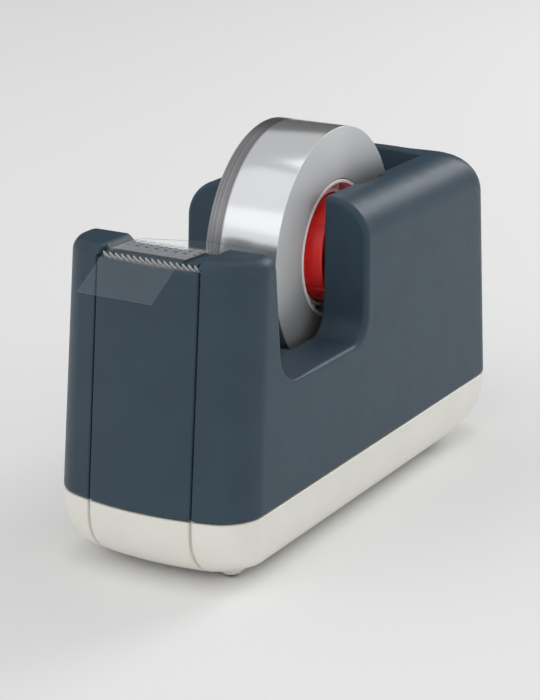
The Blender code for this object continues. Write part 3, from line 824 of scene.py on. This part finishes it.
def build_platform():
    """The plate under the tape, with a grid of small bumps in three rows and a rippled rear lip."""
    half = 0.0110 - GAP
    front, rear = PLATFORM_FRONT_Y, PLATFORM_HIGH.y
    top, low = PLATFORM_Z, PLATFORM_LOW.z
    thick, step_y = 0.0016, -0.0512
    ripple_depth, ripple_pitch = 0.00012, 0.0021
    columns = 56
    rings = []
    for i in range(columns + 1):
        x = -half + 2 * half * i / columns
        ripple = ripple_depth * cos(2 * pi * x / ripple_pitch)
        outline = [
            (front, low + thick),
            (front, top - 0.0004),
            (front + 0.0004, top - 0.0001),
            (rear - 0.0016, top - 0.0001),
            (rear - 0.0010 + ripple, top),
            (rear - 0.0004 + ripple, top - 0.0003),
            (rear - 0.0001, top - 0.0010),
            (rear - 0.0001, low),
            (step_y, low),
            (step_y, low + thick),
        ]
        rings.append([(x, y, z) for y, z in outline])
    sharp = 40
    plate = band("platform_plate", rings, sharp)
    bm = bmesh.new()
    bm.from_mesh(plate.data)
    sunk, flatten = 0.00016, Matrix.Diagonal((1.0, 0.8, 0.6, 1.0))
    for row in range(3):
        for i in range(9):
            at = (BUMP_X + i * BUMP_PITCH_X, BUMP_Y + row * BUMP_PITCH_Y, top - sunk)
            matrix = Matrix.Translation(at) @ flatten
            bmesh.ops.create_uvsphere(
                bm, u_segments=16, v_segments=8, radius=0.00050, matrix=matrix
            )
    bm.to_mesh(plate.data)
    bm.free()
    plate.data.shade_smooth()
    plate.data.set_sharp_from_angle(angle=radians(sharp))
    return place(plate, "housing", SHELL_LOOK, "shell", "tape_platform")


def build_blade():
    """A bent strip with sixteen teeth on its raised lip, each steep on one flank."""
    tip = Vector((TIP_Y, TIP_Z))
    bend = Vector((BEND_Y, BEND_Z))
    along = (tip - bend).normalized()
    thick = Vector((along.y, -along.x)) * 0.00016
    rear_y = -0.0515
    teeth, depth = 16, 0.0019
    half = 0.0124
    pitch = 2 * half / teeth
    # Each tooth's valley, and the two ends of its tip, as (share of the pitch, how far down).
    tooth = ((0.0, depth), (0.10, 0.0001), (0.22, 0.0))
    edge = [
        (-half + (i + share) * pitch, tip - along * down)
        for i in range(teeth)
        for share, down in tooth
    ]
    edge.append((half, tip - along * depth))
    rings = [
        [
            (x, bend.x + 0.0001, bend.y),
            (x, *top),
            (x, *(top + thick)),
            (x, bend.x + 0.0005, bend.y + 0.0003),
            (x, rear_y, bend.y + 0.0003),
            (x, rear_y, bend.y - 0.0001),
        ]
        for x, top in edge
    ]
    blade = band("toothed_blade", rings, sharp=12)
    return place(blade, "housing", STEEL_LOOK, "steel", "cutter_blade")


def build_roll():
    """The wound tape, with one material around it and another on its flat sides."""
    half = HALF_TAPE
    bore = 0.0170
    corners = [(-half, bore), (-half, ROLL_RADIUS), (half, ROLL_RADIUS), (half, bore)]
    roll = turned("wound_roll", rounded(corners, 0.00025), steps=180, sharp=60)
    place(roll, "wheel", OUTSIDE_LOOK, "tape", "tape_roll")
    roll.data.materials.append(SIDE_LOOK)
    for face in roll.data.polygons:
        if abs(face.normal.x) > 0.5:
            face.material_index = 1
    return roll


def build_core():
    """A wide outer ring and a narrower inner one, with a web and ribs between them."""
    half = HALF_TAPE
    overlap = 0.0004
    outer, outer_in = 0.0168, 0.0159
    inner_out, bore = 0.0143, 0.0134
    step = half - 0.0020
    web = 0.0035
    corners = [
        (-half, outer_in),
        (-half, outer),
        (half, outer),
        (half, outer_in),
        (web, outer_in),
        (web, inner_out),
        (step, inner_out),
        (step, bore),
        (-step, bore),
        (-step, inner_out),
        (-web, inner_out),
        (-web, outer_in),
    ]
    core = turned("ribbed_core", rounded(corners, 0.00025, count=3), steps=144, sharp=40)
    place(core, "wheel", CORE_LOOK, "core", "tape_core")
    ribs = bmesh.new()
    rib_count, first_angle, rib_width = 10, 0.25, 0.0009
    middle = (outer_in + inner_out) / 2
    reach = step - web
    for i in range(rib_count):
        angle = 2 * pi * i / rib_count + first_angle
        for side in (-1, 1):
            matrix = (
                Matrix.Translation((0, ROLL_Y, ROLL_Z))
                @ Matrix.Rotation(angle, 4, "X")
                @ Matrix.Translation((side * (web + reach / 2 - overlap), 0, middle))
                @ Matrix.Diagonal((reach, rib_width, outer_in - inner_out + overlap, 1.0))
            )
            bmesh.ops.create_cube(ribs, size=1.0, matrix=matrix)
    bmesh.ops.bevel(
        ribs, geom=ribs.edges[:], offset=0.00012, segments=2, profile=0.5, affect="EDGES"
    )
    rib_piece = piece_from("core_ribs", ribs, sharp=40)
    return place(rib_piece, "wheel", CORE_LOOK, "core")


HUB_GROOVES = 5
HUB_FIRST_GROOVE = 38  # degrees


def hub_relief(angle):
    """How far the drum's surface sinks at an angle: a narrow groove in the middle of a wide dip."""
    step = 2 * pi / HUB_GROOVES
    local = (angle - radians(HUB_FIRST_GROOVE) + step / 2) % step - step / 2
    groove = 0.00035 * np.exp(-((local / radians(1.6)) ** 2))
    dip = 0.00014 * cos(local * HUB_GROOVES / 2) ** 8
    return -groove - dip


def build_hub(side, node):
    """Half of the hub: a drum with a thin rim, a dished end and a collar for the axle."""
    low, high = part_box(node)
    drum = (high.z - low.z) / 2
    end = max(abs(low.x), abs(high.x))
    profile = [
        (0.0002, drum),
        (end - 0.0005, drum),
        (end - 0.0002, drum - 0.0001),
        (end, drum - 0.0004),
        (end, drum - 0.0009),
        (end - 0.0003, drum - 0.0012),
        (end - 0.0034, drum - 0.0016),
        (end - 0.0037, drum - 0.0022),
        (end - 0.0037, 0.0056),
        (end - 0.0034, 0.0052),
        (end - 0.0004, 0.0049),
        (end, 0.0046),
        (end, 0.0028),
        (end - 0.0002, 0.0026),
        (0.0002, 0.0026),
    ]
    # Degrees from each groove, close together across it and wider between grooves.
    across = (-4, -2.6, -1.6, -0.8, 0, 0.8, 1.6, 2.6, 4)
    between = (8, 14, 20, 27, 34, 38, 45, 52, 58, 64)
    step = 360 // HUB_GROOVES
    degrees = {
        round(HUB_FIRST_GROOVE + step * k + turn, 3) % 360
        for k in range(HUB_GROOVES)
        for turn in across + between
    }
    angles = [radians(a) for a in sorted(degrees)]
    rings = []
    for x, radius in profile:
        ring = []
        for angle in angles:
            r = radius + (hub_relief(angle) if radius > drum - 0.0005 else 0.0)
            ring.append((side * x, ROLL_Y - r * cos(angle), ROLL_Z + r * sin(angle)))
        rings.append(ring)
    bm = bmesh.new()
    skin(bm, rings, ends_meet=True)
    hub = piece_from("red_" + node, bm, sharp=50)
    return place(hub, "wheel", RED_LOOK, "hub", node)


def softened(line, spacing=0.0008, rounds=6):
    """The line cut into short steps, with its corners smoothed and its ends kept."""
    dense = []
    for i in range(len(line) - 1):
        a, b = Vector(line[i]), Vector(line[i + 1])
        parts = max(1, int((b - a).length / spacing))
        dense += [a.lerp(b, k / parts) for k in range(parts)]
    dense.append(Vector(line[-1]))
    for _ in range(rounds):
        inner = [
            (dense[i - 1] + dense[i] * 2 + dense[i + 1]) / 4 for i in range(1, len(dense) - 1)
        ]
        dense = [dense[0], *inner, dense[-1]]
    return dense


def build_strip():
    """The loose tape: from the roll straight to the platform, over the teeth, then bent down."""
    half_thick = 0.00007
    peel_z = ROLL_Z + 0.0058
    peel_y = ROLL_Y - sqrt((ROLL_RADIUS + GAP) ** 2 - (peel_z - ROLL_Z) ** 2) - 0.0002
    lift = 0.0005
    line = [
        (peel_y, peel_z),
        (PLATFORM_HIGH.y + 0.0010, PLATFORM_Z + lift - 0.0001),
        (PLATFORM_HIGH.y - 0.0015, PLATFORM_Z + lift),
        (-0.0561, PLATFORM_Z + lift + 0.0001),
        (-0.0587, TIP_Z + lift),
        (-0.0598, TIP_Z + lift - 0.0002),
        (STRIP_LOW.y + 0.0001, STRIP_LOW.z + 0.0003),
    ]
    dense = softened(line)
    last = len(dense) - 1
    travel = peel_y - TIP_Y
    drift = -0.0018  # how far the tape has moved sideways by the time it reaches the teeth
    columns = 12
    rings = []
    for i, point in enumerate(dense):
        run = (dense[min(i + 1, last)] - dense[max(i - 1, 0)]).normalized()
        across = Vector((-run.y, run.x)) * half_thick
        middle = drift * min((peel_y - point.x) / travel, 1.0)
        ring = []
        for side, steps in ((-1, range(columns + 1)), (1, range(columns, -1, -1))):
            for k in steps:
                x = middle + (2 * k / columns - 1) * HALF_TAPE
                ring.append((x, point.x + across.x * side, point.y + across.y * side))
        rings.append(ring)
    strip = band("loose_tape", rings, sharp=60)
    strip.data.materials.append(FILM_LOOK)
    strip.data.materials.append(FILM_EDGE_LOOK)
    for face in strip.data.polygons:  # the thin sides, and the many-sided face over each end
        if abs(face.normal.x) > 0.9 or face.area < 2e-9 or len(face.vertices) > 4:
            face.material_index = 1
    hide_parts("tape_strip")
    return strip, dense


def build_feet():
    top, low_radius, top_radius = 0.0018, 0.0011, 0.0014
    outline = rounded([(top, 0.0), (top, top_radius), (0.0, low_radius), (0.0, 0.0)], 0.0004)
    profile = [(z, radius) for z, radius in outline if radius > 1e-5]
    angles = np.linspace(0, 2 * pi, 41)[:-1]
    for i, (x, y) in enumerate(FOOT_PLACES, 1):
        rings = [
            [(x + radius * cos(a), y + radius * sin(a), z) for a in angles] for z, radius in profile
        ]
        pad = band(f"rubber_pad_{i}", rings)
        place(pad, "housing", RUBBER_LOOK, "rubber", f"foot_pad_{i}")


def paint(node, material):
    """Gives a CAD node that is shown as it is its material."""
    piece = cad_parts[node]
    for i in range(len(piece.data.materials)):
        piece.data.materials[i] = material


build_shell()
build_panel()
build_base()
build_platform()
build_blade()
build_roll()
build_core()
build_hub(-1, "hub_left")
build_hub(1, "hub_right")
STRIP, STRIP_LINE = build_strip()
build_feet()
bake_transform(STRIP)
paint("axle_pin", AXLE_LOOK)
paint("ballast_block", IRON_LOOK)
paint("ballast_cover", BLACK_LOOK)
for number in range(1, 5):
    paint(f"housing_screw_{number}", SCREW_LOOK)


# ---------------------------------------------------------------- floor, light and camera


def floor():
    bm = bmesh.new()
    bmesh.ops.create_grid(bm, x_segments=1, y_segments=1, size=6.0)
    made = piece_from("floor", bm)
    made.location.z = -0.00005  # a hair below the feet
    look = Look("pale_floor")
    look.colour(look.blend(look.noise(3.0), (0.90, 0.90, 0.90), (0.92, 0.92, 0.92)))
    look.set(Roughness=0.6)
    made.data.materials.append(look.material)


def area_light(name, position, aim_z, size, power):
    """A rectangular light aimed at a point on the object's middle line."""
    data = bpy.data.lights.new(name, "AREA")
    data.shape = "RECTANGLE"
    data.size, data.size_y = size
    data.energy = power
    lamp = bpy.data.objects.new(name, data)
    lamp.location = position
    aim = Vector((0, 0, aim_z)) - Vector(position)
    lamp.rotation_euler = aim.to_track_quat("-Z", "Y").to_euler()
    bpy.context.scene.collection.objects.link(lamp)


CAMERA_PLACE = (0.25313, -0.46180, 0.20516)
CAMERA_TURN = (72.27505, -0.63938, 29.20452)  # degrees about X, Y and Z: tilt, roll and heading
CAMERA_LENS = 116.91  # millimetres, on a sensor of 36


def camera():
    data = bpy.data.cameras.new("camera")
    data.lens = CAMERA_LENS
    data.sensor_width = 36.0
    data.sensor_fit = "AUTO"
    made = bpy.data.objects.new("camera", data)
    made.location = CAMERA_PLACE
    made.rotation_euler = [radians(angle) for angle in CAMERA_TURN]
    bpy.context.scene.collection.objects.link(made)
    bpy.context.scene.camera = made


class Sky:
    """A pale sky, with a dark patch low down at the back left for the roll to reflect."""

    def __init__(self, strength, darkest):
        world = bpy.data.worlds.new("studio")
        world.use_nodes = True
        self.tree = world.node_tree
        heading = self.tree.nodes.new("ShaderNodeSeparateXYZ")
        generated = self.tree.nodes.new("ShaderNodeTexCoord").outputs["Generated"]
        self.tree.links.new(generated, heading.inputs[0])
        behind = self.fade(heading.outputs["Y"], 0.25, 0.60)
        left = self.fade(heading.outputs["X"], 0.10, -0.25)
        low = self.fade(heading.outputs["Z"], 0.62, 0.52)
        dark = self.node("ShaderNodeMath", behind, left, operation="MULTIPLY")
        dark = self.node("ShaderNodeMath", dark, low, operation="MULTIPLY")
        shade = self.node("ShaderNodeMapRange", dark, 0.0, 1.0, 1.0, darkest)
        background = self.tree.nodes["Background"]
        self.tree.links.new(shade, background.inputs["Color"])
        background.inputs["Strength"].default_value = strength
        bpy.context.scene.world = world

    def node(self, kind, *sources, **settings):
        made = self.tree.nodes.new(kind)
        for key, value in settings.items():
            setattr(made, key, value)
        for socket, source in zip(made.inputs, sources):
            if isinstance(source, (int, float)):
                socket.default_value = source
            else:
                self.tree.links.new(source, socket)
        return made.outputs[0]

    def fade(self, source, start, end):
        return self.node(
            "ShaderNodeMapRange", source, start, end, 0.0, 1.0, interpolation_type="SMOOTHSTEP"
        )


floor()
camera()
area_light("key", (-0.35, -0.75, 0.90), aim_z=0.04, size=(1.2, 1.2), power=1.9)
area_light("front", (-0.10, -1.30, 0.42), aim_z=0.04, size=(2.0, 1.2), power=3.2)
area_light("above", (0.05, 0.05, 1.30), aim_z=0.06, size=(0.9, 0.9), power=2.2)
area_light("back", (0.30, 1.05, 0.62), aim_z=0.05, size=(0.5, 0.40), power=3.8)
area_light("right", (1.00, 0.10, 0.24), aim_z=0.06, size=(0.3, 0.3), power=0.6)
Sky(strength=0.58, darkest=0.04)
bpy.context.scene.view_settings.view_transform = "Standard"
